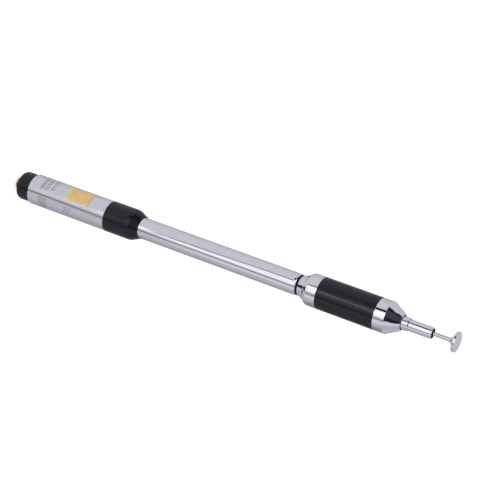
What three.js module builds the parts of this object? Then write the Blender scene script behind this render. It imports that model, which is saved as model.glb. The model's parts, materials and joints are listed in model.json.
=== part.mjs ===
// Collapsible whip antenna with a threaded coaxial stud at its foot, standing upright and closed.
// It is a short base, a mast of four telescopic sections, a loading coil unit, and a thinner whip
// of five telescopic sections that stores inside the mast.
// Millimetres. The axis is +Z: z = 0 is the end face of the stud, and the tip is at the top.

import * as THREE from 'three';

// ---------------------------------------------------------------- driving dimensions

const FACETS = 24; // sides of every turned piece
const FIT = 0.05; // gap between pieces that are fitted together
const SPRING_GAP = 0.04; // radial running gap on each side of a contact spring

// coaxial stud, 1/4-36 thread size
const STUD_RADIUS = 3.15;
const STUD_BORE = 2.3;
const STUD_PILOT_RADIUS = 2.85; // plain lead-in ahead of the thread
const STUD_PILOT_HEIGHT = 0.6;
const STUD_CHAMFER = 0.3;
const STUD_TOP = 15.5;
const FLANGE_RADIUS = 4.8;
const FLANGE_THICKNESS = 1.3;
const SOCKET_DEPTH = 1.9; // from the stud's end face to the insulator
const CONTACT_RADIUS = 0.65;
const CONTACT_BORE = 0.47;
const CONTACT_BORE_TOP = 6;
const CONTACT_TOP = 22;
const NUT_ACROSS_FLATS = 8;
const NUT_HEIGHT = 2.05;
const WASHER_RADIUS = 4.6;
const WASHER_THICKNESS = 0.5;

// black cap over the stud
const CAP_FOOT = 3.2;
const CAP_FULL = 4.4; // height where its rounded rim reaches full width
const CAP_TOP = 9.95;
const CAP_RADIUS = 6.55;
const CAP_RIM_RADIUS = 6.1;
const CAP_RECESS_RADIUS = 5.2;
const CAP_RECESS_TOP = 7.6;
const CAP_BULKHEAD_TOP = 10.6;
const CAP_SPIGOT_TOP = 16;

// metal barrel, its label and its sticker
const BARREL_FOOT = 10;
const BARREL_TOP = 52.2;
const BARREL_RADIUS = 6.85;
const BARREL_BORE = 6.3;
const LABEL_THICKNESS = 0.12;
const LABEL_MARGIN = 0.15;
const LABEL_SEAM = 0.05; // radians left open at the back, on the +Y side
const STICKER_THICKNESS = 0.08;
const STICKER_FOOT = 29.8;
const STICKER_TOP = 43;
const STICKER_START = 4; // degrees from -Y towards -X
const STICKER_END = 78;

// black sleeve where the mast leaves the base
const SLEEVE_RADIUS = 7.08;
const SLEEVE_SHOULDER = 64.5; // height where it starts to narrow
const SLEEVE_TAPER_FOOT = 65.8;
const SLEEVE_TAPER_RADIUS = 6.8;
const SLEEVE_TOP = 69.5;
const SLEEVE_LIP_RADIUS = 5.2;
const SLEEVE_LIP_HEIGHT = 0.3;
const SLEEVE_SPIGOT_FOOT = 46;
const SLEEVE_BORE = 5.35;
const SLEEVE_LIP_DEPTH = 2.8;
const BUSH_FOOT = 33;

// matching coil inside the barrel
const MATCHING_FOOT = 18.2;
const MATCHING_TOP = 29.8;
const MATCHING_CORE = 3.4;
const MATCHING_BORE = 1.6;
const MATCHING_FLANGE = 5.2;
const MATCHING_TURNS = 5;
const MATCHING_WIRE = 0.35;
const SPOOL_FLANGE = 1; // thickness of a spool's end plates
const WINDING_GAP = 0.25; // between a winding and its spool

// brass plug that closes the foot of the mast
const PLUG_STEM_FOOT = 26.5;
const PLUG_STEM_RADIUS = 1.5;
const PLUG_FLANGE_FOOT = 30.5;
const PLUG_TOP = 36.5;

// telescopic sections, outermost first
const MAST_DIAMETERS = [9.6, 8.7, 7.8, 6.9];
const MAST_WALL = 0.3;
const MAST_FOOT = 32;
const MAST_INNER_FOOT = 38;
const MAST_TOP = 149.25;
const MAST_SPRING = 6;
const WHIP_DIAMETERS = [5.75, 4.97, 4.15, 3.35];
const WHIP_WALL = 0.24;
const WHIP_FOOT = 115.5;
const WHIP_COLLAR_TOP = 201;
const WHIP_TOP = 211.35;
const WHIP_SPRING = 5;
const ROD_RADIUS = 0.87;
const FOOT_STAGGER = 1.5; // each inner section stands this much higher than the one around it
const MAST_TOP_STAGGER = 0.2; // and stops this much lower
const WHIP_TOP_STAGGER = 0.45;
const MOUTH_DEPTH = 1.1; // length of a section's rolled-in mouth
const MOUTH_CHAMFER = 0.3; // inside its foot
const MOUTH_TAPER = 1.15; // length over which it narrows outside
const COLLAR_TAPER = 0.8;
const MOUTH_EDGE = 0.1;

// loading coil unit
const RING_FOOT = 149.4;
const RING_HEIGHT = 0.6;
const RING_RADIUS = 4.55;
const LOWER_FERRULE_FOOT = 150.15;
const LOWER_FERRULE_TOP = 160.06;
const FERRULE_RADIUS = 7.1;
const FERRULE_WAIST = 4.3;
const FLARE_KNEE = 153.05; // height where the flare turns steeper
const FLARE_KNEE_RADIUS = 5.45;
const FLARE_TOP = 155.5;
const SPIGOT_LENGTH = 2.94;
const SPIGOT_RADIUS = 6.15;
const CAVITY_RADIUS = 5.4;
const LOWER_CAVITY_FOOT = 156.5;
const MAST_END = 159.6; // where the innermost mast section stops inside the ferrule
const COIL_SLEEVE_TOP = 186.9;
const COIL_SLEEVE_WALL = 0.9;
const COIL_FORMER_FOOT = 163.6;
const COIL_FORMER_TOP = 183.2;
const COIL_FORMER_RADIUS = 4.2;
const COIL_FORMER_FLANGE = 5.3;
const COIL_TURNS = 9;
const COIL_WIRE = 0.3;
const CONE_FOOT = 191.85;
const CONE_MIDDLE = 194.05; // the cone is slightly hollow here
const CONE_MIDDLE_RADIUS = 5.75;
const CONE_TOP = 197.65;
const CONE_TOP_RADIUS = 3.85;
const UPPER_FERRULE_TOP = 198.05;
const UPPER_CAVITY_TOP = 191;
const LINER_FOOT = 104;

// tip
const TIP_FOOT = 218.8;
const TIP_THROAT_RADIUS = 1.08;
const TIP_RADIUS = 4.4;
const TIP_DISC_BACK = 220.9;
const TIP_TOP = 222.4;
const TIP_SOCKET_TOP = 220.7;
const TIP_EDGE = 0.3;

// ---------------------------------------------------------------- materials

const finishes = {
  gold: { color: 0xc98a3c, roughness: 0.3, metalness: 1 },
  insulator: { color: 0xf1efe8, roughness: 0.5, metalness: 0 },
  steel: { color: 0xb9bbc0, roughness: 0.35, metalness: 1 },
  blackPlastic: { color: 0x1f1e22, roughness: 0.45, metalness: 0 },
  aluminium: { color: 0xb4b5ba, roughness: 0.4, metalness: 1 },
  labelFoil: { color: 0xbcb9c6, roughness: 0.35, metalness: 0.8 },
  hologramFoil: { color: 0xe0b87a, roughness: 0.3, metalness: 0.9 },
  brass: { color: 0xb7975a, roughness: 0.35, metalness: 1 },
  copper: { color: 0xb5673a, roughness: 0.35, metalness: 1 },
  bronze: { color: 0xa87c4f, roughness: 0.35, metalness: 1 },
  chrome: { color: 0xd4d4da, roughness: 0.08, metalness: 1 },
  rubber: { color: 0x101012, roughness: 0.8, metalness: 0 },
};

const antenna = new THREE.Group();

function addPiece(name, geometry, finish) {
  const piece = new THREE.Mesh(geometry, new THREE.MeshStandardMaterial(finishes[finish]));
  piece.name = name;
  antenna.add(piece);
  return piece;
}

// ---------------------------------------------------------------- shape helpers

// Twice the signed area of a closed outline: positive when it runs anticlockwise.
function turningSense(outline) {
  let sum = 0;
  outline.forEach(([r, z], i) => {
    const [nextR, nextZ] = outline[(i + 1) % outline.length];
    sum += r * nextZ - nextR * z;
  });
  return sum;
}

// Solid of revolution about Z from an outline of [radius, height] points.
function turned(outline, facets = FACETS) {
  const ordered = turningSense(outline) > 0 ? [...outline] : [...outline].reverse();
  const points = ordered.map(([r, z]) => new THREE.Vector2(r, z));
  points.push(points[0].clone());
  const geometry = new THREE.LatheGeometry(points, facets);
  geometry.rotateX(Math.PI / 2);
  return geometry;
}

function ring(inner, outer, foot, top) {
  return turned([[inner, foot], [outer, foot], [outer, top], [inner, top]]);
}

// Points on a quarter ellipse from [r0, z0] to [r1, z1] that leaves along the radius.
function roundedEdge(r0, z0, r1, z1, steps) {
  return Array.from({ length: steps + 1 }, (_, i) => {
    const angle = (i / steps) * Math.PI / 2;
    return [r0 + (r1 - r0) * Math.sin(angle), z1 + (z0 - z1) * Math.cos(angle)];
  });
}

// Thin shell that follows the barrel between two angles, measured from +X.
function wrappedSheet(radius, thickness, startAngle, endAngle, foot, top) {
  const shape = new THREE.Shape();
  shape.absarc(0, 0, radius + thickness, startAngle, endAngle, false);
  shape.absarc(0, 0, radius, endAngle, startAngle, true);
  const turns = Math.abs(endAngle - startAngle) / (2 * Math.PI);
  const curveSegments = Math.ceil(turns * FACETS);
  const geometry = new THREE.ExtrudeGeometry(shape, {
    depth: top - foot, bevelEnabled: false, curveSegments,
  });
  geometry.translate(0, 0, foot);
  return geometry;
}

class Helix extends THREE.Curve {
  constructor(radius, foot, top, turns) {
    super();
    Object.assign(this, { radius, foot, top, turns });
  }

  getPoint(t, target = new THREE.Vector3()) {
    const angle = t * this.turns * 2 * Math.PI;
    const height = THREE.MathUtils.lerp(this.foot, this.top, t);
    return target.set(this.radius * Math.cos(angle), this.radius * Math.sin(angle), height);
  }
}

function winding(radius, wire, foot, top, turns) {
  const stepsPerTurn = 10;
  const section = new THREE.Shape();
  section.absarc(0, 0, wire, 0, 2 * Math.PI, false);
  return new THREE.ExtrudeGeometry(section, {
    extrudePath: new Helix(radius, foot, top, turns),
    steps: turns * stepsPerTurn,
    curveSegments: 3,
  });
}

// Spool with an end plate at each end.
function spool(bore, core, flange, foot, top) {
  return turned([
    [bore, foot], [flange, foot], [flange, foot + SPOOL_FLANGE], [core, foot + SPOOL_FLANGE],
    [core, top - SPOOL_FLANGE], [flange, top - SPOOL_FLANGE], [flange, top], [bore, top],
  ]);
}

// Drawn tube whose mouth narrows outside, over taper, and is rolled in round the next section.
function rolledTube(radius, wall, innerRadius, foot, top, taper = MOUTH_TAPER) {
  const bore = radius - wall;
  const mouth = innerRadius + FIT;
  return turned([
    [bore, foot], [radius, foot], [radius, top - taper],
    [mouth + MOUTH_EDGE, top], [mouth, top],
    [mouth, top - MOUTH_DEPTH], [bore, top - MOUTH_DEPTH - MOUTH_CHAMFER],
  ]);
}

function contactSpring(innerTubeRadius, outerTubeBore, foot, length) {
  return ring(innerTubeRadius + SPRING_GAP, outerTubeBore - SPRING_GAP, foot, foot + length);
}

// ---------------------------------------------------------------- base

function buildConnector() {
  const flangeFoot = CAP_BULKHEAD_TOP + FIT;
  const flangeTop = flangeFoot + FLANGE_THICKNESS;
  addPiece('sma_shell', turned([
    [STUD_BORE, 0], [STUD_PILOT_RADIUS, 0], [STUD_PILOT_RADIUS, STUD_PILOT_HEIGHT],
    [STUD_RADIUS, STUD_PILOT_HEIGHT + STUD_CHAMFER],
    [STUD_RADIUS, flangeFoot], [FLANGE_RADIUS, flangeFoot], [FLANGE_RADIUS, flangeTop],
    [STUD_RADIUS, flangeTop], [STUD_RADIUS, STUD_TOP], [STUD_BORE, STUD_TOP],
  ]), 'gold');
  const insulation = ring(CONTACT_RADIUS + FIT, STUD_BORE - FIT, SOCKET_DEPTH, STUD_TOP);
  addPiece('sma_dielectric', insulation, 'insulator');
  addPiece('sma_center_contact', turned([
    [CONTACT_BORE, SOCKET_DEPTH], [CONTACT_RADIUS, SOCKET_DEPTH], [CONTACT_RADIUS, CONTACT_TOP],
    [0, CONTACT_TOP], [0, CONTACT_BORE_TOP], [CONTACT_BORE, CONTACT_BORE_TOP],
  ]), 'gold');

  const washerTop = CAP_RECESS_TOP - FIT;
  const washerFoot = washerTop - WASHER_THICKNESS;
  addPiece('lock_washer', ring(STUD_RADIUS + FIT, WASHER_RADIUS, washerFoot, washerTop), 'steel');

  const hexagon = new THREE.Shape();
  const cornerRadius = NUT_ACROSS_FLATS / Math.sqrt(3);
  for (let corner = 0; corner < 6; corner += 1) {
    const angle = corner * Math.PI / 3;
    const [x, y] = [cornerRadius * Math.cos(angle), cornerRadius * Math.sin(angle)];
    if (corner === 0) hexagon.moveTo(x, y);
    else hexagon.lineTo(x, y);
  }
  hexagon.closePath();
  const hole = new THREE.Path();
  hole.absarc(0, 0, STUD_RADIUS + FIT, 0, 2 * Math.PI, true);
  hexagon.holes.push(hole);
  const nut = addPiece('sma_nut', new THREE.ExtrudeGeometry(hexagon, {
    depth: NUT_HEIGHT, bevelEnabled: false, curveSegments: FACETS,
  }), 'gold');
  nut.position.z = washerFoot - FIT - NUT_HEIGHT;
}

function buildBase() {
  addPiece('base_cap', turned([
    [CAP_RECESS_RADIUS, CAP_FOOT],
    ...roundedEdge(CAP_RIM_RADIUS, CAP_FOOT, CAP_RADIUS, CAP_FULL, 4),
    [CAP_RADIUS, CAP_TOP], [BARREL_BORE - FIT, CAP_TOP], [BARREL_BORE - FIT, CAP_SPIGOT_TOP],
    [CAP_RECESS_RADIUS, CAP_SPIGOT_TOP], [CAP_RECESS_RADIUS, CAP_BULKHEAD_TOP],
    [STUD_RADIUS + FIT, CAP_BULKHEAD_TOP], [STUD_RADIUS + FIT, CAP_RECESS_TOP],
    [CAP_RECESS_RADIUS, CAP_RECESS_TOP],
  ]), 'blackPlastic');
  addPiece('base_barrel', ring(BARREL_BORE, BARREL_RADIUS, BARREL_FOOT, BARREL_TOP), 'aluminium');

  const labelBore = BARREL_RADIUS + FIT;
  addPiece('label_wrap', wrappedSheet(
    labelBore, LABEL_THICKNESS, Math.PI / 2 + LABEL_SEAM / 2, Math.PI * 2.5 - LABEL_SEAM / 2,
    BARREL_FOOT + LABEL_MARGIN, BARREL_TOP - LABEL_MARGIN,
  ), 'labelFoil');

  const fromMinusY = (degrees) => -Math.PI / 2 - THREE.MathUtils.degToRad(degrees);
  addPiece('hologram_sticker', wrappedSheet(
    labelBore + LABEL_THICKNESS + FIT, STICKER_THICKNESS,
    fromMinusY(STICKER_END), fromMinusY(STICKER_START), STICKER_FOOT, STICKER_TOP,
  ), 'hologramFoil');

  const mastRadius = MAST_DIAMETERS[0] / 2;
  const lipFoot = SLEEVE_TOP - SLEEVE_LIP_DEPTH;
  addPiece('end_sleeve', turned([
    [mastRadius + FIT, SLEEVE_TOP], [SLEEVE_LIP_RADIUS, SLEEVE_TOP],
    [SLEEVE_LIP_RADIUS + FIT, SLEEVE_TOP - SLEEVE_LIP_HEIGHT],
    [SLEEVE_TAPER_RADIUS, SLEEVE_TAPER_FOOT], [SLEEVE_RADIUS, SLEEVE_SHOULDER],
    [SLEEVE_RADIUS, BARREL_TOP + FIT], [BARREL_BORE - FIT, BARREL_TOP + FIT],
    [BARREL_BORE - FIT, SLEEVE_SPIGOT_FOOT], [SLEEVE_BORE, SLEEVE_SPIGOT_FOOT],
    [SLEEVE_BORE, lipFoot], [mastRadius + FIT, lipFoot],
  ]), 'blackPlastic');
  addPiece('mast_bush', ring(mastRadius + FIT, SLEEVE_BORE - FIT, BUSH_FOOT, lipFoot - FIT), 'insulator');
}

function buildMatchingCoil() {
  addPiece('matching_coil_former', spool(
    MATCHING_BORE, MATCHING_CORE, MATCHING_FLANGE, MATCHING_FOOT, MATCHING_TOP,
  ), 'insulator');
  const inset = SPOOL_FLANGE + MATCHING_WIRE + WINDING_GAP;
  addPiece('matching_coil', winding(
    MATCHING_CORE + MATCHING_WIRE + WINDING_GAP, MATCHING_WIRE,
    MATCHING_FOOT + inset, MATCHING_TOP - inset, MATCHING_TURNS,
  ), 'copper');

  const plugRadius = MAST_DIAMETERS[0] / 2;
  const spigotRadius = plugRadius - MAST_WALL - FIT;
  addPiece('mast_foot_plug', turned([
    [0, PLUG_STEM_FOOT], [PLUG_STEM_RADIUS, PLUG_STEM_FOOT], [PLUG_STEM_RADIUS, PLUG_FLANGE_FOOT],
    [plugRadius, PLUG_FLANGE_FOOT], [plugRadius, MAST_FOOT - FIT],
    [spigotRadius, MAST_FOOT - FIT], [spigotRadius, PLUG_TOP], [0, PLUG_TOP],
  ]), 'brass');
}

// ---------------------------------------------------------------- mast and whip

function buildMast() {
  const radii = MAST_DIAMETERS.map((diameter) => diameter / 2);
  radii.forEach((radius, i) => {
    const number = i + 1;
    const foot = i === 0 ? MAST_FOOT : MAST_INNER_FOOT + (i - 1) * FOOT_STAGGER;
    if (i > 0) {
      const spring = contactSpring(radius, radii[i - 1] - MAST_WALL, foot, MAST_SPRING);
      addPiece(`mast_contact_spring_${number}`, spring, 'bronze');
    }
    const isInnermost = i === radii.length - 1;
    const tube = isInnermost
      ? ring(radius - MAST_WALL, radius, foot, MAST_END)
      : rolledTube(radius, MAST_WALL, radii[i + 1], foot, MAST_TOP - i * MAST_TOP_STAGGER);
    addPiece(`mast_tube_${number}`, tube, 'chrome');
  });
}

function buildWhip() {
  const radii = WHIP_DIAMETERS.map((diameter) => diameter / 2);
  const footOf = (i) => WHIP_FOOT + i * FOOT_STAGGER;
  radii.forEach((radius, i) => {
    const number = i + 1;
    const innerRadius = i + 1 < radii.length ? radii[i + 1] : ROD_RADIUS;
    const top = i === 0 ? WHIP_COLLAR_TOP : WHIP_TOP - (i - 1) * WHIP_TOP_STAGGER;
    if (i > 0) {
      const spring = contactSpring(radius, radii[i - 1] - WHIP_WALL, footOf(i), WHIP_SPRING);
      addPiece(`whip_contact_spring_${number}`, spring, 'bronze');
    }
    const taper = i === 0 ? COLLAR_TAPER : MOUTH_TAPER;
    const tube = rolledTube(radius, WHIP_WALL, innerRadius, footOf(i), top, taper);
    addPiece(`whip_tube_${number}`, tube, 'chrome');
  });

  const rodNumber = radii.length + 1;
  const rodFoot = footOf(radii.length);
  const lastBore = radii[radii.length - 1] - WHIP_WALL;
  const rodSpring = contactSpring(ROD_RADIUS, lastBore, rodFoot, WHIP_SPRING);
  addPiece(`whip_contact_spring_${rodNumber}`, rodSpring, 'bronze');
  addPiece('whip_rod', turned([
    [0, rodFoot], [ROD_RADIUS, rodFoot], [ROD_RADIUS, TIP_SOCKET_TOP - FIT], [0, TIP_SOCKET_TOP - FIT],
  ]), 'chrome');

  const socketRadius = ROD_RADIUS + FIT;
  addPiece('tip_button', turned([
    [socketRadius, TIP_FOOT], [TIP_THROAT_RADIUS, TIP_FOOT],
    [TIP_THROAT_RADIUS + 0.3, TIP_FOOT + 0.9], [TIP_THROAT_RADIUS + 1, TIP_FOOT + 1.8],
    [TIP_RADIUS - TIP_EDGE, TIP_DISC_BACK], [TIP_RADIUS, TIP_DISC_BACK + TIP_EDGE],
    [TIP_RADIUS, TIP_TOP - TIP_EDGE], [TIP_RADIUS - TIP_EDGE, TIP_TOP],
    [0, TIP_TOP], [0, TIP_SOCKET_TOP], [socketRadius, TIP_SOCKET_TOP],
  ]), 'chrome');
}

// ---------------------------------------------------------------- loading coil unit

function buildCoilUnit() {
  const mastRadius = MAST_DIAMETERS[MAST_DIAMETERS.length - 1] / 2;
  const whipRadius = WHIP_DIAMETERS[0] / 2;
  const bumper = ring(mastRadius + FIT, RING_RADIUS, RING_FOOT, RING_FOOT + RING_HEIGHT);
  addPiece('bumper_ring', bumper, 'rubber');

  const lowerBore = mastRadius + FIT;
  const spigotTop = LOWER_FERRULE_TOP + SPIGOT_LENGTH;
  addPiece('lower_ferrule', turned([
    [lowerBore, LOWER_FERRULE_FOOT], [FERRULE_WAIST, LOWER_FERRULE_FOOT],
    [FERRULE_WAIST + 0.3, LOWER_FERRULE_FOOT + 0.8], [FLARE_KNEE_RADIUS, FLARE_KNEE],
    [FERRULE_RADIUS - 0.35, FLARE_TOP - 1], [FERRULE_RADIUS - 0.05, FLARE_TOP - 0.4],
    [FERRULE_RADIUS, FLARE_TOP], [FERRULE_RADIUS, LOWER_FERRULE_TOP],
    [SPIGOT_RADIUS, LOWER_FERRULE_TOP], [SPIGOT_RADIUS, spigotTop], [CAVITY_RADIUS, spigotTop],
    [CAVITY_RADIUS, LOWER_CAVITY_FOOT], [lowerBore, LOWER_CAVITY_FOOT],
  ]), 'chrome');

  addPiece('coil_sleeve', ring(
    FERRULE_RADIUS - COIL_SLEEVE_WALL, FERRULE_RADIUS, LOWER_FERRULE_TOP + FIT, COIL_SLEEVE_TOP,
  ), 'blackPlastic');
  addPiece('coil_former', spool(
    whipRadius + FIT, COIL_FORMER_RADIUS, COIL_FORMER_FLANGE, COIL_FORMER_FOOT, COIL_FORMER_TOP,
  ), 'insulator');
  const inset = SPOOL_FLANGE + COIL_WIRE + WINDING_GAP;
  addPiece('loading_coil', winding(
    COIL_FORMER_RADIUS + COIL_WIRE + WINDING_GAP, COIL_WIRE,
    COIL_FORMER_FOOT + inset, COIL_FORMER_TOP - inset, COIL_TURNS,
  ), 'copper');

  const upperBore = whipRadius + FIT;
  const upperFoot = COIL_SLEEVE_TOP + FIT;
  addPiece('upper_ferrule', turned([
    [CAVITY_RADIUS, upperFoot - SPIGOT_LENGTH], [SPIGOT_RADIUS, upperFoot - SPIGOT_LENGTH],
    [SPIGOT_RADIUS, upperFoot], [FERRULE_RADIUS, upperFoot], [FERRULE_RADIUS, CONE_FOOT],
    [CONE_MIDDLE_RADIUS, CONE_MIDDLE], [CONE_TOP_RADIUS, CONE_TOP],
    [CONE_TOP_RADIUS, UPPER_FERRULE_TOP], [upperBore, UPPER_FERRULE_TOP],
    [upperBore, UPPER_CAVITY_TOP], [CAVITY_RADIUS, UPPER_CAVITY_TOP],
  ]), 'chrome');

  const linerOuter = mastRadius - MAST_WALL - FIT;
  const liner = ring(whipRadius + FIT, linerOuter, LINER_FOOT, COIL_FORMER_FOOT - FIT);
  addPiece('whip_liner', liner, 'insulator');
}

buildConnector();
buildBase();
buildMatchingCoil();
buildMast();
buildCoilUnit();
buildWhip();

export default antenna;
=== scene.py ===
"""Looks of the telescopic whip antenna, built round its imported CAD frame."""
import json
import math
import random

import bmesh
import bpy
from mathutils import Matrix, Vector


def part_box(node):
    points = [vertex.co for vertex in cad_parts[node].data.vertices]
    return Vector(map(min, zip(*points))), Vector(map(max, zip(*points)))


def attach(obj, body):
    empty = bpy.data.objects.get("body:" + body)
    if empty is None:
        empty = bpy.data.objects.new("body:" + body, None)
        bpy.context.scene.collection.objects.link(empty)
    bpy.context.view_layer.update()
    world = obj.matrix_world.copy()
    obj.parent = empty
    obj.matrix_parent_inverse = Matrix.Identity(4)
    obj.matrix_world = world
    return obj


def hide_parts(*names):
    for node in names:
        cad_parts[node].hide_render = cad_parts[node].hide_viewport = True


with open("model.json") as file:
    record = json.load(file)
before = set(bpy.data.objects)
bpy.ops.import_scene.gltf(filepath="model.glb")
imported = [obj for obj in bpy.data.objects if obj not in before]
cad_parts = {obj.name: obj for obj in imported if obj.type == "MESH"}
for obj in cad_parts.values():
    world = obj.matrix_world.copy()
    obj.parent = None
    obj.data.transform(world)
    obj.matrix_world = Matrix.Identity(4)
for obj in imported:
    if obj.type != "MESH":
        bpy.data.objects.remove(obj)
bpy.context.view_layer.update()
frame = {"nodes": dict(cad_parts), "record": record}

MM = 0.001
SEGMENTS = 96  # sides of a turned piece
SHARP_ANGLE = math.radians(40)
BODY_OF = {node: body for body, nodes in frame["record"]["behaviour"]["bodies"].items() for node in nodes}


# ------------------------------------------------------------------ sizes read from the frame

def span(node):
    """Outer radius, foot and top of a turned CAD node, in millimetres."""
    low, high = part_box(node)
    return high.x / MM, low.z / MM, high.z / MM


# ------------------------------------------------------------------ shape helpers (millimetres in)

def fillet(corner, before, after, radius, steps=5):
    """Points of an arc that rounds a corner, with a close support point on each side of it."""
    p, a, b = Vector(corner), Vector(before), Vector(after)
    to_a, to_b = (a - p).normalized(), (b - p).normalized()
    half = to_a.angle(to_b) / 2
    if half > math.radians(88) or radius <= 0:
        return [tuple(p)]
    tangent = min(radius / math.tan(half), 0.42 * (a - p).length, 0.42 * (b - p).length)
    radius = tangent * math.tan(half)
    centre = p + (to_a + to_b).normalized() * radius / math.sin(half)
    start, end = p + to_a * tangent - centre, p + to_b * tangent - centre
    turn = start.angle(end)
    points = [p + to_a * tangent * 1.12]
    for i in range(steps + 1):
        t = i / steps
        mixed = start * math.sin((1 - t) * turn) + end * math.sin(t * turn)
        points.append(centre + mixed / math.sin(turn))
    points.append(p + to_b * tangent * 1.12)
    return [tuple(q) for q in points]


def rounded(outline, default=0.08):
    """Closed outline of (radius, height) or (radius, height, fillet) points with its corners rounded."""
    points = []
    count = len(outline)
    for i, (r, z, *own) in enumerate(outline):
        size = own[0] if own else default
        if r < 1e-6:
            points.append((0.0, z))
            continue
        before, after = outline[i - 1][:2], outline[(i + 1) % count][:2]
        points += fillet((r, z), before, after, size)
    return points


def finish_mesh(name, bm):
    bmesh.ops.recalc_face_normals(bm, faces=bm.faces)
    mesh = bpy.data.meshes.new(name)
    bm.to_mesh(mesh)
    bm.free()
    mesh.shade_smooth()
    mesh.set_sharp_from_angle(angle=SHARP_ANGLE)
    return mesh


def turned(name, outline, segments=SEGMENTS):
    """Mesh of a closed outline turned about Z. Points on the axis become poles."""
    bm = bmesh.new()
    rings = []
    for r, z in outline:
        if r < 1e-6:
            rings.append([bm.verts.new((0, 0, z * MM))])
            continue
        ring = []
        for k in range(segments):
            angle = 2 * math.pi * k / segments
            ring.append(bm.verts.new((r * MM * math.cos(angle), r * MM * math.sin(angle), z * MM)))
        rings.append(ring)
    for lower, upper in zip(rings, rings[1:] + rings[:1]):
        if len(lower) == 1 and len(upper) == 1:
            continue
        for k in range(segments):
            corners = [lower[k % len(lower)], lower[(k + 1) % len(lower)],
                       upper[(k + 1) % len(upper)], upper[k % len(upper)]]
            bm.faces.new(list(dict.fromkeys(corners)))
    return finish_mesh(name, bm)


def place(name, mesh, node, slot, material, *also_replaced):
    """Adds a piece that stands for a CAD node and moves with that node's body."""
    piece = bpy.data.objects.new(name, mesh)
    bpy.context.scene.collection.objects.link(piece)
    mesh.materials.clear()
    mesh.materials.append(material)
    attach(piece, BODY_OF[node])
    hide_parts(node, *also_replaced)
    return piece


def place_turned(node, outline, slot, material, default=0.08, segments=SEGMENTS):
    name = "fine_" + node
    return place(name, turned(name, rounded(outline, default), segments), node, slot, material)


# ------------------------------------------------------------------ node helpers

class Nodes:
    """Short way to build a node tree out of math nodes."""

    def __init__(self, tree):
        self.tree = tree

    def add(self, kind, **settings):
        node = self.tree.nodes.new(kind)
        for key, value in settings.items():
            setattr(node, key, value)
        return node

    def link(self, source, target):
        if isinstance(source, (int, float, tuple)):
            target.default_value = source
        else:
            self.tree.links.new(source, target)

    def math(self, operation, *inputs):
        node = self.add("ShaderNodeMath", operation=operation)
        for i, source in enumerate(inputs):
            self.link(source, node.inputs[i])
        return node.outputs[0]

    def smooth(self, value, low, high):
        """0 below low, 1 above high, with an even ramp that eases at both ends."""
        node = self.add("ShaderNodeMapRange", interpolation_type="SMOOTHSTEP")
        self.link(value, node.inputs["Value"])
        self.link(low, node.inputs["From Min"])
        self.link(high, node.inputs["From Max"])
        return node.outputs["Result"]

    def band(self, value, low, high, soft):
        """1 between low and high, fading over soft on each side."""
        rise = self.smooth(value, self.math("SUBTRACT", low, soft), self.math("ADD", low, soft))
        fall = self.smooth(value, self.math("SUBTRACT", high, soft), self.math("ADD", high, soft))
        return self.math("SUBTRACT", rise, fall)

    def mix(self, factor, a, b):
        node = self.add("ShaderNodeMix", data_type="RGBA")
        self.link(factor, node.inputs["Factor"])
        self.link(a, node.inputs["A"])
        self.link(b, node.inputs["B"])
        return node.outputs["Result"]

    def mix_value(self, factor, a, b):
        node = self.add("ShaderNodeMix", data_type="FLOAT")
        self.link(factor, node.inputs["Factor"])
        self.link(a, node.inputs["A"])
        self.link(b, node.inputs["B"])
        return node.outputs["Result"]

    def position(self, scale=(1, 1, 1)):
        coordinates = self.add("ShaderNodeTexCoord")
        mapping = self.add("ShaderNodeMapping")
        mapping.inputs["Scale"].default_value = scale
        self.tree.links.new(coordinates.outputs["Object"], mapping.inputs["Vector"])
        return mapping.outputs["Vector"]

    def noise(self, vector, scale, detail=3.0, roughness=0.5):
        node = self.add("ShaderNodeTexNoise")
        self.tree.links.new(vector, node.inputs["Vector"])
        node.inputs["Scale"].default_value = scale
        node.inputs["Detail"].default_value = detail
        node.inputs["Roughness"].default_value = roughness
        return node.outputs["Fac"]

    def bump(self, height, strength, distance):
        node = self.add("ShaderNodeBump")
        node.inputs["Strength"].default_value = strength
        node.inputs["Distance"].default_value = distance
        self.tree.links.new(height, node.inputs["Height"])
        return node.outputs["Normal"]


def new_material(name):
    material = bpy.data.materials.new(name)
    material.use_nodes = True
    tree = material.node_tree
    shader = tree.nodes["Principled BSDF"]
    return material, Nodes(tree), shader


# ------------------------------------------------------------------ materials

def worn_metal(name, colour, deep, rough_low, rough_high, draw=0.02, bump=0.04):
    """Plated or bare metal: drawing marks along the axis, faint smudges and a little tone variation."""
    material, n, shader = new_material(name)
    marks = n.noise(n.position((1, 1, draw)), 9000, 2)
    smudge = n.noise(n.position(), 160, 4, 0.6)
    shader.inputs["Metallic"].default_value = 1
    n.link(n.mix(n.smooth(smudge, 0.35, 0.75), (*colour, 1), (*deep, 1)), shader.inputs["Base Color"])
    wear = n.math("ADD", n.math("MULTIPLY", smudge, 0.7), n.math("MULTIPLY", marks, 0.3))
    n.link(n.mix_value(n.smooth(wear, 0.3, 0.7), rough_low, rough_high), shader.inputs["Roughness"])
    n.link(n.bump(marks, bump, 0.00001), shader.inputs["Normal"])
    return material


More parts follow.
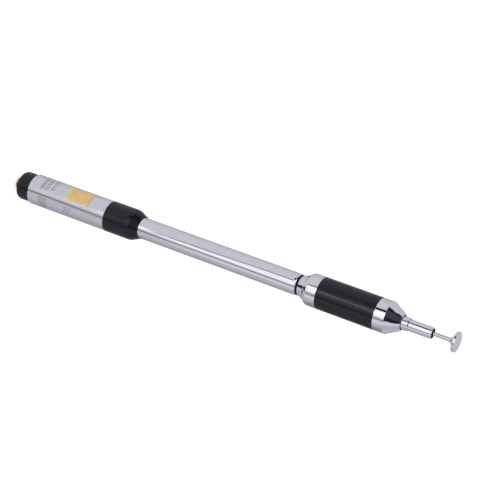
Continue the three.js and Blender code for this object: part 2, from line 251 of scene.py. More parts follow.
def moulded_plastic(name, colour, light, rough_low, rough_high, grain=0.12, wave=0.0, gloss=0.5):
    """Moulded plastic or rubber: fine grain, slightly wavy skin, soft sheen variation and a little dust."""
    material, n, shader = new_material(name)
    fine = n.noise(n.position(), 14000, 2)
    broad = n.noise(n.position(), 300, 4, 0.6)
    swell = n.noise(n.position((1, 1, 0.5)), 130, 1)
    shader.inputs["Specular IOR Level"].default_value = gloss
    n.link(n.mix(n.smooth(broad, 0.4, 0.8), (*colour, 1), (*light, 1)), shader.inputs["Base Color"])
    n.link(n.mix_value(n.smooth(broad, 0.3, 0.7), rough_low, rough_high), shader.inputs["Roughness"])
    height = n.math("ADD", n.math("MULTIPLY", fine, 0.02), n.math("MULTIPLY", swell, wave))
    n.link(n.bump(height, grain, 0.001), shader.inputs["Normal"])
    return material


def label_foil(name):
    """Silver label: near-mirror foil with fine brushed lines round it and a soft pearl speckle."""
    material, n, shader = new_material(name)
    brushed = n.noise(n.position((1, 1, 6)), 5000, 3)
    speckle = n.noise(n.position(), 22000, 2)
    tone = n.math("ADD", n.math("MULTIPLY", brushed, 0.6), n.math("MULTIPLY", speckle, 0.4))
    shader.inputs["Metallic"].default_value = 1
    n.link(n.mix(n.smooth(tone, 0.35, 0.65), (0.88, 0.88, 0.90, 1), (0.94, 0.94, 0.96, 1)),
           shader.inputs["Base Color"])
    n.link(n.mix_value(tone, 0.08, 0.15), shader.inputs["Roughness"])
    n.link(n.bump(tone, 0.05, 0.00001), shader.inputs["Normal"])
    return material


chrome = worn_metal("chrome", (0.94, 0.94, 0.95), (0.91, 0.91, 0.93), 0.03, 0.065, bump=0.02)
nickel = worn_metal("rod_nickel", (0.82, 0.81, 0.83), (0.74, 0.73, 0.75), 0.04, 0.08)
gold = worn_metal("gold_plating", (0.96, 0.75, 0.56), (0.90, 0.62, 0.42), 0.16, 0.28)
steel = worn_metal("plated_steel", (0.66, 0.67, 0.69), (0.55, 0.55, 0.57), 0.28, 0.42)
aluminium = worn_metal("barrel_aluminium", (0.74, 0.74, 0.77), (0.66, 0.66, 0.70), 0.25, 0.38)
brass = worn_metal("turned_brass", (0.78, 0.60, 0.32), (0.66, 0.48, 0.24), 0.22, 0.36)
copper = worn_metal("enamelled_copper", (0.62, 0.26, 0.12), (0.48, 0.18, 0.08), 0.18, 0.3)
bronze = worn_metal("spring_bronze", (0.66, 0.44, 0.26), (0.54, 0.34, 0.19), 0.22, 0.36)
black_plastic = moulded_plastic("black_plastic", (0.004, 0.004, 0.006), (0.008, 0.008, 0.010), 0.17, 0.24,
                                grain=0.08, wave=0.05, gloss=0.42)
white_plastic = moulded_plastic("white_fluoropolymer", (0.84, 0.83, 0.79), (0.76, 0.75, 0.71), 0.35, 0.5)
rubber = moulded_plastic("black_rubber", (0.004, 0.004, 0.005), (0.009, 0.009, 0.010), 0.55, 0.75,
                         grain=0.3, gloss=0.2)
# dark finish for the inward faces of the drawn tubes: painted shade inside the bore and the mouth
bore_painted_shade = worn_metal("painted_shade_bore", (0.16, 0.15, 0.16), (0.09, 0.08, 0.09), 0.4, 0.55)
foil = label_foil("label_foil")


# ------------------------------------------------------------------ base

FIT = 0.05  # gap between pieces that touch
STUD_RADIUS = 3.15
STUD_BORE = 2.3
STUD_HOLE = 3.2  # radius of the holes that the stud passes through
STUD_FLANGE = 1.3
THREAD_PITCH = 0.7056  # 36 turns to the inch
THREAD_DEPTH = 0.38
LAND_SHARE = 0.12  # share of the pitch left flat on the crest
FLANK_SHARE = 0.72
INSULATOR_BORE = 0.7
CONTACT_BORE = 0.47
CONTACT_BORE_TOP = 6
NUT_CHAMFER = 0.35
CAP_RIM_RADIUS = 6.1
CAP_RECESS_RADIUS = 5.2
CAP_RECESS_TOP = 7.6
CAP_BULKHEAD_TOP = 10.6
CAP_FULL = 4.4
BARREL_BORE = 6.3
PILOT_RADIUS = 2.85
PILOT_HEIGHT = 0.6


def threaded_stud():
    """The stud: a helical thread over a plain shank with a flange, and a smooth bore."""
    flange_radius, _, top = span("sma_shell")
    thread_top = CAP_BULKHEAD_TOP
    flange_top = thread_top + FIT + STUD_FLANGE
    steps = 16 * round(thread_top / THREAD_PITCH)
    bm = bmesh.new()
    rings = []

    def ring(radius_at, z):
        row = []
        for k in range(SEGMENTS):
            angle = 2 * math.pi * k / SEGMENTS
            r = radius_at(angle)
            row.append(bm.verts.new((r * MM * math.cos(angle), r * MM * math.sin(angle), z * MM)))
        rings.append(row)

    def thread_radius(z):
        def at(angle):
            phase = (z / THREAD_PITCH - angle / (2 * math.pi)) % 1
            ridge = abs(2 * phase - 1)
            flank = min(1, max(0, (ridge - LAND_SHARE) / FLANK_SHARE))
            lead = min(1, max(0, (z - PILOT_HEIGHT) / 0.4), (thread_top - z) / 0.5)
            cut = STUD_RADIUS - THREAD_DEPTH * flank
            return PILOT_RADIUS - 0.15 * max(0, 1 - z / 0.15) + (cut - PILOT_RADIUS) * lead
        return at

    for i in range(steps + 1):
        z = thread_top * i / steps
        ring(thread_radius(z), z)
    for r, z in [(flange_radius, thread_top + FIT), (flange_radius, flange_top), (STUD_RADIUS, flange_top),
                 (STUD_RADIUS, top), (STUD_BORE, top), (STUD_BORE, 0.25), (STUD_BORE + 0.2, 0)]:
        ring(lambda angle, r=r: r, z)
    for lower, upper in zip(rings, rings[1:] + rings[:1]):
        for k in range(SEGMENTS):
            following = (k + 1) % SEGMENTS
            bm.faces.new([lower[k], lower[following], upper[following], upper[k]])
    return finish_mesh("fine_sma_shell", bm)


place("fine_sma_shell", threaded_stud(), "sma_shell", "gold_plating", gold)

_, foot, top = span("sma_dielectric")
place_turned("sma_dielectric", [
    (INSULATOR_BORE, foot), (STUD_BORE - FIT, foot), (STUD_BORE - FIT, top), (INSULATOR_BORE, top),
], "insulator", white_plastic, 0.06)
contact_radius, foot, top = span("sma_center_contact")
place_turned("sma_center_contact", [
    (CONTACT_BORE, foot, 0.03), (contact_radius, foot, 0.08), (contact_radius, top, 0.1), (0, top),
    (0, CONTACT_BORE_TOP), (CONTACT_BORE, CONTACT_BORE_TOP),
], "gold_plating", gold, 0.03, 48)

washer_radius, foot, top = span("lock_washer")
place_turned("lock_washer", [
    (STUD_HOLE, foot), (washer_radius, foot), (washer_radius, top), (STUD_HOLE, top),
], "plated_steel", steel, 0.1)


def hex_nut():
    """Hexagonal nut with its corners chamfered round at both faces."""
    low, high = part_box("sma_nut")
    foot, top = low.z / MM, high.z / MM
    flat = high.y / MM
    bm = bmesh.new()
    levels = [(foot, False), (foot + NUT_CHAMFER, True), (top - NUT_CHAMFER, True), (top, False)]
    rows = []
    for z, full in levels:
        row = []
        for k in range(SEGMENTS):
            angle = 2 * math.pi * k / SEGMENTS
            sector = (angle + math.pi / 6) % (math.pi / 3) - math.pi / 6
            hexagon = flat / math.cos(math.pi / 6 - abs(sector))
            r = hexagon if full else min(hexagon, flat * 1.02)
            row.append(bm.verts.new((r * MM * math.cos(angle), r * MM * math.sin(angle), z * MM)))
        rows.append(row)
    for z in (top, foot):
        rows.append([bm.verts.new((STUD_HOLE * MM * math.cos(2 * math.pi * k / SEGMENTS),
                                   STUD_HOLE * MM * math.sin(2 * math.pi * k / SEGMENTS), z * MM))
                     for k in range(SEGMENTS)])
    for lower, upper in zip(rows, rows[1:] + rows[:1]):
        for k in range(SEGMENTS):
            following = (k + 1) % SEGMENTS
            bm.faces.new([lower[k], lower[following], upper[following], upper[k]])
    return finish_mesh("fine_sma_nut", bm)


place("fine_sma_nut", hex_nut(), "sma_nut", "gold_plating", gold)

cap_radius, cap_foot, spigot_top = span("base_cap")
barrel_radius, barrel_foot, barrel_top = span("base_barrel")
cap_top = barrel_foot - FIT
place_turned("base_cap", [
    (CAP_RECESS_RADIUS, cap_foot, 0.12), (CAP_RIM_RADIUS, cap_foot, 0.25),
    (CAP_RIM_RADIUS + 0.28, cap_foot + 0.45, 0.5), (cap_radius, CAP_FULL, 0.8),
    (cap_radius, cap_top, 0.12), (BARREL_BORE - FIT, cap_top, 0), (BARREL_BORE - FIT, spigot_top, 0.2),
    (CAP_RECESS_RADIUS, spigot_top, 0.2), (CAP_RECESS_RADIUS, CAP_BULKHEAD_TOP, 0.1),
    (STUD_HOLE, CAP_BULKHEAD_TOP, 0.1), (STUD_HOLE, CAP_RECESS_TOP, 0.1),
    (CAP_RECESS_RADIUS, CAP_RECESS_TOP, 0.15),
], "black_plastic", black_plastic)

place_turned("base_barrel", [
    (BARREL_BORE, barrel_foot), (barrel_radius, barrel_foot),
    (barrel_radius, barrel_top), (BARREL_BORE, barrel_top),
], "barrel_metal", aluminium, 0.1)

# ------------------------------------------------------------------ label, print and sticker

LABEL_SEAM = 0.05
FRONT = -math.pi / 2  # angle of -Y


def wrapped_sheet(bm, radius, thickness, start, end, foot, top, corner=0.0, columns=48, rows=2):
    """Thin closed sheet that follows the barrel. Its four corners are rounded by corner."""
    def edge_inset(t_around):
        arc = (end - start) * radius
        near = min(t_around, 1 - t_around) * arc
        if corner <= 0 or near >= corner:
            return 0
        return corner - math.sqrt(max(0, corner ** 2 - (corner - near) ** 2))

    faces_in, faces_out = [], []
    for i in range(columns + 1):
        t = i / columns
        if corner > 0:  # crowd the columns near the two ends, where the corners are
            t = 0.5 - 0.5 * math.cos(math.pi * t)
        angle = start + (end - start) * t
        inset = edge_inset(t)
        for faces, r in ((faces_in, radius), (faces_out, radius + thickness)):
            faces.append([bm.verts.new((r * MM * math.cos(angle), r * MM * math.sin(angle),
                                        (foot + inset + (top - foot - 2 * inset) * j / rows) * MM))
                          for j in range(rows + 1)])
    for i in range(columns):
        for j in range(rows):
            near_out, next_out = faces_out[i], faces_out[i + 1]
            near_in, next_in = faces_in[i], faces_in[i + 1]
            bm.faces.new([near_out[j], next_out[j], next_out[j + 1], near_out[j + 1]])
            bm.faces.new([near_in[j], near_in[j + 1], next_in[j + 1], next_in[j]])
        for j in (0, rows):
            bm.faces.new([faces_in[i][j], faces_in[i + 1][j], faces_out[i + 1][j], faces_out[i][j]])
    for i in (0, columns):
        for j in range(rows):
            bm.faces.new([faces_in[i][j], faces_out[i][j], faces_out[i][j + 1], faces_in[i][j + 1]])


label_radius, label_foot, label_top = span("label_wrap")
label_bore = barrel_radius + FIT
bm = bmesh.new()
wrapped_sheet(bm, label_bore, label_radius - label_bore, math.pi / 2 + LABEL_SEAM / 2,
              math.pi * 2.5 - LABEL_SEAM / 2, label_foot, label_top, 0, 128, 4)
place("fine_label_wrap", finish_mesh("fine_label_wrap", bm), "label_wrap", "label_foil", foil)

PRINT_THICKNESS = 0.012


def print_bar(bm, start_degrees, end_degrees, foot, top):
    """One printed bar on the label, between two angles from -Y towards -X."""
    wrapped_sheet(bm, label_radius + 0.002, PRINT_THICKNESS, FRONT - math.radians(end_degrees),
                  FRONT - math.radians(start_degrees), foot, top, 0, 6, 1)


def print_line(bm, rng, start, end, foot, top):
    """A row of word-like bars of uneven length."""
    at = start
    while at < end:
        length = rng.uniform(3.0, 7.0)
        print_bar(bm, at, min(at + length, end), foot, top)
        at += length + rng.uniform(2.0, 3.5)


print_ink, ink, shader = new_material("grey_print")
ink_noise = ink.noise(ink.position(), 9000, 3)
ink.link(ink.mix(ink_noise, (0.10, 0.10, 0.12, 1), (0.19, 0.19, 0.22, 1)), shader.inputs["Base Color"])
ink.link(ink.mix_value(ink_noise, 0.35, 0.5), shader.inputs["Roughness"])
ink.link(ink.bump(ink_noise, 0.1, 0.00001), shader.inputs["Normal"])

# rows of small print: foot, top, and the two angles in degrees between which they run
SMALL_PRINT = [(16.2, 16.85, 8, 76), (17.25, 17.9, 12, 70), (18.8, 19.35, 10, 66), (19.75, 20.35, 14, 62)]
LARGE_PRINT = [(18, 27), (32, 38), (44, 55), (61, 67), (73, 82)]  # degrees, one block each
LARGE_PRINT_FOOT, LARGE_PRINT_TOP = 21.8, 23.8
LARGE_STROKE = 0.45
BOX_FOOT, BOX_TOP = 16.4, 18.8
BOX_START, BOX_END = -64, -20  # degrees
BOX_STROKE = 0.3
BOX_EDGE = 2  # degrees
SMALL_MARK = [(-50, 30.6), (-40, 31.6), (-32, 30.9), (-48, 32.6), (-36, 33.2)]  # degrees, height

rng = random.Random(7)
bm = bmesh.new()
for foot, top, start, end in SMALL_PRINT:
    print_line(bm, rng, start, end, foot, top)
for start, end in LARGE_PRINT:
    print_bar(bm, start, end, LARGE_PRINT_FOOT, LARGE_PRINT_FOOT + LARGE_STROKE)
    print_bar(bm, start, start + 2.5, LARGE_PRINT_FOOT + LARGE_STROKE, LARGE_PRINT_TOP - LARGE_STROKE)
    print_bar(bm, start + 1, end - 2, LARGE_PRINT_TOP - LARGE_STROKE, LARGE_PRINT_TOP)
for foot in (BOX_FOOT, BOX_TOP - BOX_STROKE):
    print_bar(bm, BOX_START, BOX_END, foot, foot + BOX_STROKE)
for edge in (BOX_START, BOX_END - BOX_EDGE):
    print_bar(bm, edge, edge + BOX_EDGE, BOX_FOOT, BOX_TOP)
print_line(bm, rng, -58, -26, 17.2, 18.0)
for foot in (19.4, 20.3):
    print_line(bm, rng, -66, -20, foot, foot + 0.5)
for start, foot in SMALL_MARK:
    print_bar(bm, start, start + 7, foot, foot + 0.5)
label_print = bpy.data.objects.new("label_print", finish_mesh("label_print", bm))
bpy.context.scene.collection.objects.link(label_print)
label_print.data.materials.append(print_ink)
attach(label_print, "base")

STICKER_START, STICKER_END = 4, 78  # degrees from -Y towards -X
STICKER_THICKNESS = 0.08
STICKER_CORNER = 0.7
sticker_low, sticker_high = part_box("hologram_sticker")
sticker_radius = -sticker_low.y / MM
sticker_foot, sticker_top = sticker_low.z / MM, sticker_high.z / MM


def hologram_foil(name):
    """Gold diffraction foil: gold in the middle, green towards one side and pink towards the edges."""
    material, n, shader = new_material(name)
    cells = n.add("ShaderNodeTexVoronoi", feature="DISTANCE_TO_EDGE")
    n.link(n.position(), cells.inputs["Vector"])
    cells.inputs["Scale"].default_value = 1500
    relief = n.smooth(cells.outputs["Distance"], 0.0, 0.1)
    cloud = n.noise(n.position(), 420, 3, 0.6)
    place_in = n.add("ShaderNodeSeparateXYZ")
    n.link(n.position((1 / MM, 1 / MM, 1 / MM)), place_in.inputs[0])
    x, y, z = place_in.outputs
    wander = n.math("MULTIPLY", n.math("SUBTRACT", cloud, 0.5), 2.0)
    along = n.math("ADD", z, wander)
    across = n.math("SUBTRACT", wander, x)
    gold_tone = n.mix(n.smooth(cloud, 0.35, 0.65), (0.90, 0.60, 0.24, 1), (0.88, 0.66, 0.27, 1))
    green = n.smooth(along, sticker_foot + 2.6, sticker_foot)
    far_end = n.smooth(along, sticker_top - 1.6, sticker_top + 0.6)
    pink = n.math("MAXIMUM", n.smooth(across, 5.2, 6.9), far_end)
    tone = n.mix(n.math("MULTIPLY", green, 0.8), gold_tone, (0.78, 0.80, 0.36, 1))
    tone = n.mix(n.math("MULTIPLY", pink, 0.7), tone, (0.92, 0.55, 0.38, 1))
    n.link(tone, shader.inputs["Base Color"])
    shader.inputs["Metallic"].default_value = 0.7
    n.link(n.mix_value(relief, 0.45, 0.32), shader.inputs["Roughness"])
    n.link(n.bump(relief, 0.12, 0.00001), shader.inputs["Normal"])
    return material


bm = bmesh.new()
wrapped_sheet(bm, sticker_radius - STICKER_THICKNESS, STICKER_THICKNESS,
              FRONT - math.radians(STICKER_END), FRONT - math.radians(STICKER_START),
              sticker_foot, sticker_top, STICKER_CORNER, 48, 8)
sticker_mesh = finish_mesh("fine_hologram_sticker", bm)
sticker_finish = hologram_foil("hologram_foil")
place("fine_hologram_sticker", sticker_mesh, "hologram_sticker", "hologram_foil", sticker_finish)

# ------------------------------------------------------------------ sleeve, mast and whip

SLEEVE_LIP = 5.2
SLEEVE_SHOULDER = 64.5
SLEEVE_TAPER_FOOT = 65.8
SLEEVE_TAPER_RADIUS = 6.8
SLEEVE_BORE = 5.35
SLEEVE_COLLAR = 2.8  # length that grips the mast

sleeve_radius, sleeve_foot, sleeve_top = span("end_sleeve")
mast_radius = span("mast_tube_1")[0]
collar_foot = sleeve_top - SLEEVE_COLLAR
place_turned("end_sleeve", [
    (mast_radius + FIT, sleeve_top, 0.08), (SLEEVE_LIP, sleeve_top, 0.15),
    (SLEEVE_LIP + 0.05, sleeve_top - 0.3, 0.3), (SLEEVE_TAPER_RADIUS, SLEEVE_TAPER_FOOT, 1.2),
    (sleeve_radius, SLEEVE_SHOULDER, 1.2), (sleeve_radius, barrel_top + FIT, 0.12),
    (BARREL_BORE - FIT, barrel_top + FIT, 0), (BARREL_BORE - FIT, sleeve_foot, 0.2),
    (SLEEVE_BORE, sleeve_foot, 0.1), (SLEEVE_BORE, collar_foot, 0.1),
    (mast_radius + FIT, collar_foot, 0.1),
], "black_plastic", black_plastic)

MAST_WALL = 0.3
WHIP_WALL = 0.24
MOUTH_DEPTH = 1.1
MOUTH_TAPER = 1.15
COLLAR_TAPER = 0.8


def finish_faces(piece, material, chosen):
    """Gives the faces that chosen picks a finish of their own."""
    piece.data.materials.append(material)
    for face in piece.data.polygons:
        if chosen(face):
            face.material_index = 1


def faces_inward(face):
    outward = Vector((face.center.x, face.center.y, 0)).normalized()
    return face.normal.dot(outward) < -0.3


def drawn_tube(node, wall, inner_radius, taper=MOUTH_TAPER):
    """Thin tube whose inward faces get a dark finish, painted shade in the bore and the mouth. Its mouth is
    rolled in towards the next section, with a round lip.
    """
    radius, foot, top = span(node)
    bore, mouth = radius - wall, inner_radius + FIT
    edge = mouth + 0.12
    shoulder = radius - 0.3 * (radius - edge)
    outline = [
        (bore, foot, 0.08), (radius, foot, 0.12), (radius, top - taper, 0.3 * taper),
        (shoulder, top - 0.4 * taper, 0.6 * taper), (edge, top, 0.2), (mouth, top, 0.05),
        (mouth, top - MOUTH_DEPTH, 0.1), (bore, top - MOUTH_DEPTH - 0.3, 0.2),
    ]
    piece = place_turned(node, outline, "chrome", chrome)
    # the inward faces take the dark bore finish: painted shade in the tube's mouth
    finish_faces(piece, bore_painted_shade, faces_inward)


mast_radii = [span(f"mast_tube_{i}")[0] for i in (1, 2, 3, 4)]
for i in (1, 2, 3):
    drawn_tube(f"mast_tube_{i}", MAST_WALL, mast_radii[i])
radius, foot, top = span("mast_tube_4")
place_turned("mast_tube_4", [
    (radius - MAST_WALL, foot), (radius, foot), (radius, top), (radius - MAST_WALL, top),
], "chrome", chrome)

rod_radius, rod_foot, rod_top = span("whip_rod")
whip_radii = [span(f"whip_tube_{i}")[0] for i in (1, 2, 3, 4)] + [rod_radius]
for i in (1, 2, 3, 4):
    drawn_tube(f"whip_tube_{i}", WHIP_WALL, whip_radii[i], COLLAR_TAPER if i == 1 else MOUTH_TAPER)
place_turned("whip_rod", [
    (0, rod_foot), (rod_radius, rod_foot, 0.2), (rod_radius, rod_top, 0.1), (0, rod_top),
], "chrome", nickel, 0.1, 64)

TIP_SOCKET_TOP = 220.7

tip_radius, tip_foot, tip_top = span("tip_button")
place_turned("tip_button", [
    (rod_radius + FIT, tip_foot, 0.05), (1.08, tip_foot, 0.12), (1.2, tip_foot + 0.6, 0.8),
    (1.65, tip_foot + 1.35, 0.8), (2.4, tip_foot + 1.85, 0.6), (tip_radius - 0.35, tip_top - 1.55, 0.2),
    (tip_radius, tip_top - 1.15, 0.3), (tip_radius, tip_top - 0.25, 0.25), (tip_radius - 0.5, tip_top, 0.4),
    (0, tip_top), (0, TIP_SOCKET_TOP), (rod_radius + FIT, TIP_SOCKET_TOP, 0.05),
], "chrome", chrome)

# ------------------------------------------------------------------ loading coil unit

CAVITY_RADIUS = 5.4
CAVITY_FOOT, CAVITY_TOP = 156.5, 191
SPIGOT_RADIUS = 6.15
COIL_SLEEVE_WALL = 0.9
inner_mast = mast_radii[3]
ring_radius, ring_foot, ring_top = span("bumper_ring")
RING_SQUEEZE = 0.1  # the soft ring fills the gap on each side of it
place_turned("bumper_ring", [
    (inner_mast + FIT, ring_foot - RING_SQUEEZE, 0.1), (ring_radius, ring_foot - RING_SQUEEZE, 0.3),
    (ring_radius, ring_top + RING_SQUEEZE, 0.3), (inner_mast + FIT, ring_top + RING_SQUEEZE, 0.1),
], "rubber", rubber)

ferrule_radius, ferrule_foot, ferrule_spigot_top = span("lower_ferrule")
coil_radius, coil_foot, coil_top = span("coil_sleeve")
ferrule_shoulder = coil_foot - FIT
place_turned("lower_ferrule", [
    (inner_mast + FIT, ferrule_foot, 0.1), (4.36, ferrule_foot, 0.15), (5.5, 153.0, 2.0),
    (6.72, 154.4, 1.0), (7.05, 155.1, 0.3), (ferrule_radius, 155.5, 0.3),
    (ferrule_radius, ferrule_shoulder, 0.08), (SPIGOT_RADIUS, ferrule_shoulder, 0),
    (SPIGOT_RADIUS, ferrule_spigot_top), (CAVITY_RADIUS, ferrule_spigot_top),
    (CAVITY_RADIUS, CAVITY_FOOT), (inner_mast + FIT, CAVITY_FOOT),
], "chrome", chrome)
place_turned("coil_sleeve", [
    (coil_radius - COIL_SLEEVE_WALL, coil_foot), (coil_radius, coil_foot),
    (coil_radius, coil_top), (coil_radius - COIL_SLEEVE_WALL, coil_top),
], "black_plastic", black_plastic)

_, upper_spigot_foot, upper_top = span("upper_ferrule")
whip_bore = whip_radii[0] + FIT
GROOVE_RADIUS = 3.3  # groove where the collar leaves the cone; its faces are painted black as shade in the recess
GROOVE_FOOT = upper_top - 0.5
upper_ferrule = place_turned("upper_ferrule", [
    (CAVITY_RADIUS, upper_spigot_foot), (SPIGOT_RADIUS, upper_spigot_foot),
    (SPIGOT_RADIUS, coil_top + FIT, 0), (ferrule_radius, coil_top + FIT, 0.08),
    (ferrule_radius, 191.85, 0.15), (5.75, 194.05, 3.0), (4.85, 195.95, 3.0),
    (4.2, upper_top - 1.0, 0.1), (3.7, upper_top - 0.25, 0.1), (GROOVE_RADIUS, upper_top - 0.15, 0.05),
    (GROOVE_RADIUS - 0.05, GROOVE_FOOT, 0.05), (whip_bore, GROOVE_FOOT, 0.03),
    (whip_bore, CAVITY_TOP), (CAVITY_RADIUS, CAVITY_TOP),
], "chrome", chrome)


def in_painted_shade_groove(face):
    above = face.center.z > (GROOVE_FOOT - 0.1) * MM
    return above and face.center.xy.length < (GROOVE_RADIUS + 0.02) * MM


# black rubber finish on the groove's faces: painted shade in the recess at the collar's root
finish_faces(upper_ferrule, rubber, in_painted_shade_groove)

# ------------------------------------------------------------------ hidden pieces keep their CAD shape

HIDDEN = {
    "mast_bush": white_plastic, "matching_coil_former": white_plastic, "matching_coil": copper,
    "mast_foot_plug": brass, "coil_former": white_plastic, "loading_coil": copper,
    "whip_liner": white_plastic,
}
HIDDEN.update({f"mast_contact_spring_{i}": bronze for i in (2, 3, 4)})
HIDDEN.update({f"whip_contact_spring_{i}": bronze for i in (2, 3, 4, 5)})
for node, material in HIDDEN.items():
    frame["nodes"][node].data.materials.clear()
    frame["nodes"][node].data.materials.append(material)

# ------------------------------------------------------------------ stage, light and camera

SENSOR = 36.0
FOCAL_PIXELS = 1514.0
FRAME_PIXELS = 480.0
TILT = math.radians(25.13)  # the camera's height above the plane square to the antenna
ROLL = math.radians(19.616)  # slope of the antenna across the picture
DISTANCE = 0.6519
AIM = Vector((0, 0, 0.1161))
AIM_RIGHT = -0.003234  # where the aimed point lies from the middle of the view
AIM_UP = -0.008827


def add_camera():
    toward_camera = Vector((0, -math.cos(TILT), math.sin(TILT)))
    along = Vector((0, math.sin(TILT), math.cos(TILT)))
    side = Vector((1, 0, 0))
    right = math.cos(ROLL) * along - math.sin(ROLL) * side
    up = -math.sin(ROLL) * along - math.cos(ROLL) * side
    camera_data = bpy.data.cameras.new("camera")
    camera_data.sensor_width = SENSOR
    camera_data.lens = SENSOR * FOCAL_PIXELS / FRAME_PIXELS
    camera_data.clip_start, camera_data.clip_end = 0.01, 20
    camera = bpy.data.objects.new("camera", camera_data)
    bpy.context.scene.collection.objects.link(camera)
    place_at = AIM - right * AIM_RIGHT - up * AIM_UP + toward_camera * DISTANCE
    camera.matrix_world = Matrix((
        (right.x, up.x, toward_camera.x, place_at.x),
        (right.y, up.y, toward_camera.y, place_at.y),
        (right.z, up.z, toward_camera.z, place_at.z),
        (0, 0, 0, 1),
    ))
    bpy.context.scene.camera = camera


def add_floor():
    mesh = bpy.data.meshes.new("floor")
    half = 6.0
    corners = [(-half, -half, 0), (half, -half, 0), (half, half, 0), (-half, half, 0)]
    mesh.from_pydata(corners, [], [(0, 1, 2, 3)])
    floor = bpy.data.objects.new("floor", mesh)
    bpy.context.scene.collection.objects.link(floor)
    material, n, shader = new_material("floor")
    shader.inputs["Base Color"].default_value = (0.4, 0.4, 0.4, 1)
    shader.inputs["Roughness"].default_value = 0.9
    shader.inputs["Specular IOR Level"].default_value = 0
    shader.inputs["Emission Color"].default_value = (1, 1, 1, 1)
    shader.inputs["Emission Strength"].default_value = 0.8
    mesh.materials.append(material)
    floor.visible_glossy = False


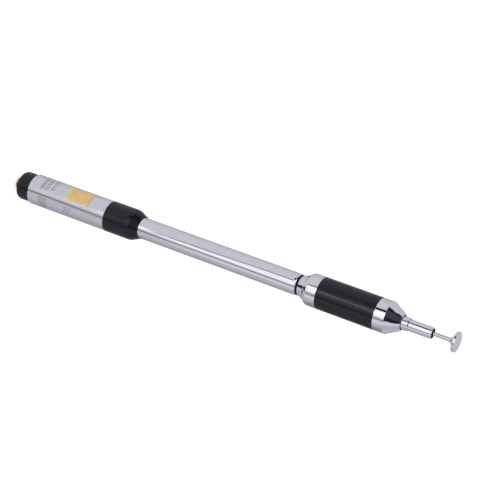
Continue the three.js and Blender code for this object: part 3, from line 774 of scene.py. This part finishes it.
def add_world():
    """A pale light tent: even light for matt surfaces, and soft dark and bright bands for polished ones."""
    world = bpy.data.worlds.new("studio")
    bpy.context.scene.world = world
    world.use_nodes = True
    world.cycles.sampling_method = "NONE"
    n = Nodes(world.node_tree)
    world.node_tree.nodes.clear()
    direction = n.add("ShaderNodeSeparateXYZ")
    n.link(n.add("ShaderNodeTexCoord").outputs["Generated"], direction.inputs[0])
    x, y, z = direction.outputs
    back_x, back_y = n.math("MULTIPLY", x, -1.0), n.math("MULTIPLY", y, -1.0)
    around = n.math("DEGREES", n.math("ARCTAN2", back_x, back_y))  # 0 in front, positive towards -X
    height = n.math("DEGREES", n.math("ARCSINE", z))
    turn = n.math("ABSOLUTE", around)

    # even part: bright in front, falling off behind and more so on one side
    light = n.mix_value(n.smooth(around, 70, 150), 0.59, 0.46)
    other_side = n.math("MULTIPLY", around, -1.0)
    light = n.mix_value(n.smooth(other_side, 30, 44), light, 0.51)
    light = n.mix_value(n.smooth(other_side, 60, 130), light, 0.36)
    dim = n.math("ADD", n.band(height, -22.4, -18.4, 0.8), n.band(height, -29.8, -28.6, 0.4))
    light = n.mix_value(n.math("MULTIPLY", n.smooth(other_side, 90, 112), dim), light, 0.25)
    above_behind = n.math("MULTIPLY", n.smooth(height, -6, 12), n.smooth(turn, 90, 130))
    light = n.mix_value(above_behind, light, 0.54)
    second = n.math("MULTIPLY", n.band(around, -66.0, -47.0, 8.0), n.smooth(height, -28.5, -26.0))
    light = n.mix_value(second, light, 0.67)

    # low behind, for surfaces that face away from the front: bright in the middle, dark to one side
    low_behind = n.math("MULTIPLY", n.smooth(turn, 162, 171), n.band(height, -70.0, -45.0, 3.0))
    light = n.mix_value(low_behind, light, 0.99)
    dark_behind = n.math("MULTIPLY", n.smooth(around, 156, 162), n.band(height, -50.0, -32.0, 2.0))
    light = n.mix_value(dark_behind, light, 0.0)

    # bright strip between a dark edge and a grey one; the dark edge moves round with height
    in_tent = n.smooth(height, -29.0, -27.4)
    steep = n.math("ADD", n.math("MULTIPLY", n.math("ADD", height, 25.6), 5.0), 11.5)
    gentle = n.math("ADD", n.math("MULTIPLY", n.math("ADD", height, 23.5), 1.9), 22.0)
    edge = n.math("MINIMUM", n.math("MINIMUM", steep, gentle), 36.0)
    edge = n.math("ADD", edge, n.math("MULTIPLY", n.smooth(height, -18.9, -17.8), 7.0))
    strip = n.math("MULTIPLY", in_tent, n.band(around, -19.0, n.math("SUBTRACT", edge, 6.0), 3.0))
    shade = n.math("MULTIPLY", n.band(around, -4.0, 4.0, 3.0), n.smooth(height, -19.5, -21.0))
    light = n.mix_value(strip, light, n.mix_value(shade, 1.02, 0.74))
    half = n.mix_value(n.smooth(height, -21.5, -19.0), 2.8, 8.5)
    half = n.mix_value(n.smooth(height, -18.6, -17.6), half, 12.0)
    dark_edge = n.band(around, n.math("SUBTRACT", edge, half), n.math("ADD", edge, half), 1.5)
    dark_edge = n.math("MULTIPLY", dark_edge, n.smooth(height, -29.0, -27.0))
    light = n.mix_value(n.math("MULTIPLY", dark_edge, n.smooth(height, 4.0, -4.0)), light, 0.02)

    # grey line, nearer the front low down
    low_down = n.smooth(height, -28.5, -33.0)
    grey_at = n.mix_value(low_down, -36.0, -25.0)
    grey_half = n.mix_value(n.smooth(height, -27.0, -28.5), 4.5, 7.5)
    grey_start, grey_end = n.math("SUBTRACT", grey_at, grey_half), n.math("ADD", grey_at, grey_half)
    light = n.mix_value(n.band(around, grey_start, grey_end, 3.0), light, 0.2)

    # hot core of the lamp, seen as the highlight on satin surfaces
    upper_core = n.math("MULTIPLY", n.band(around, -2.0, 8.0, 3.0), n.band(height, -21.25, -19.4, 0.1))
    lower_core = n.math("MULTIPLY", n.band(around, -9.0, 7.0, 4.0), n.band(height, -29.4, -28.8, 0.1))
    light = n.math("ADD", light, n.math("MULTIPLY", upper_core, 10.0))
    light = n.math("ADD", light, n.math("MULTIPLY", lower_core, 2.2))

    # a dark gap straight below, a bright patch straight above, and a dark opening in front in two parts
    gap = n.math("MULTIPLY", n.band(x, -0.02, 0.27, 0.05), n.math("LESS_THAN", height, -60.0))
    light = n.mix_value(gap, light, 0.02)
    light = n.mix_value(n.smooth(height, 64.0, 72.0), light, 1.0)
    tinted = n.add("ShaderNodeCombineColor")
    for i, share in enumerate((0.99, 0.97, 1.08)):
        n.link(n.math("MULTIPLY", light, share), tinted.inputs[i])
    opening_height = n.math("ADD", n.band(height, 5.0, 19.5, 1.0), n.band(height, 24.0, 66.0, 1.0))
    opening = n.math("MULTIPLY", n.band(around, -40.0, 78.0, 2.5), opening_height)
    middle = n.band(around, -8.0, 52.0, 5.0)
    beyond = n.mix(middle, (0.012, 0.014, 0.020, 1), (0.042, 0.048, 0.066, 1))
    tent = n.mix(opening, tinted.outputs[0], beyond)

    rays = n.add("ShaderNodeLightPath")
    glossy = n.mix(rays.outputs["Is Glossy Ray"], (0.8, 0.8, 0.82, 1), tent)
    seen = n.mix(rays.outputs["Is Camera Ray"], glossy, (1, 1, 1, 1))
    background = n.add("ShaderNodeBackground")
    n.link(seen, background.inputs["Color"])
    output = n.add("ShaderNodeOutputWorld")
    n.link(background.outputs[0], output.inputs["Surface"])


def add_light(name, location, size, power):
    light_data = bpy.data.lights.new(name, "AREA")
    light_data.shape = "DISK"
    light_data.size = size
    light_data.energy = power
    light = bpy.data.objects.new(name, light_data)
    bpy.context.scene.collection.objects.link(light)
    light.location = location
    light.rotation_euler = (AIM - Vector(location)).to_track_quat("-Z", "Y").to_euler()
    light.visible_glossy = False


add_camera()
add_floor()
add_world()
add_light("key_light", (-0.9, -0.7, 1.1), 0.9, 6)
bpy.context.scene.view_settings.view_transform = "Standard"
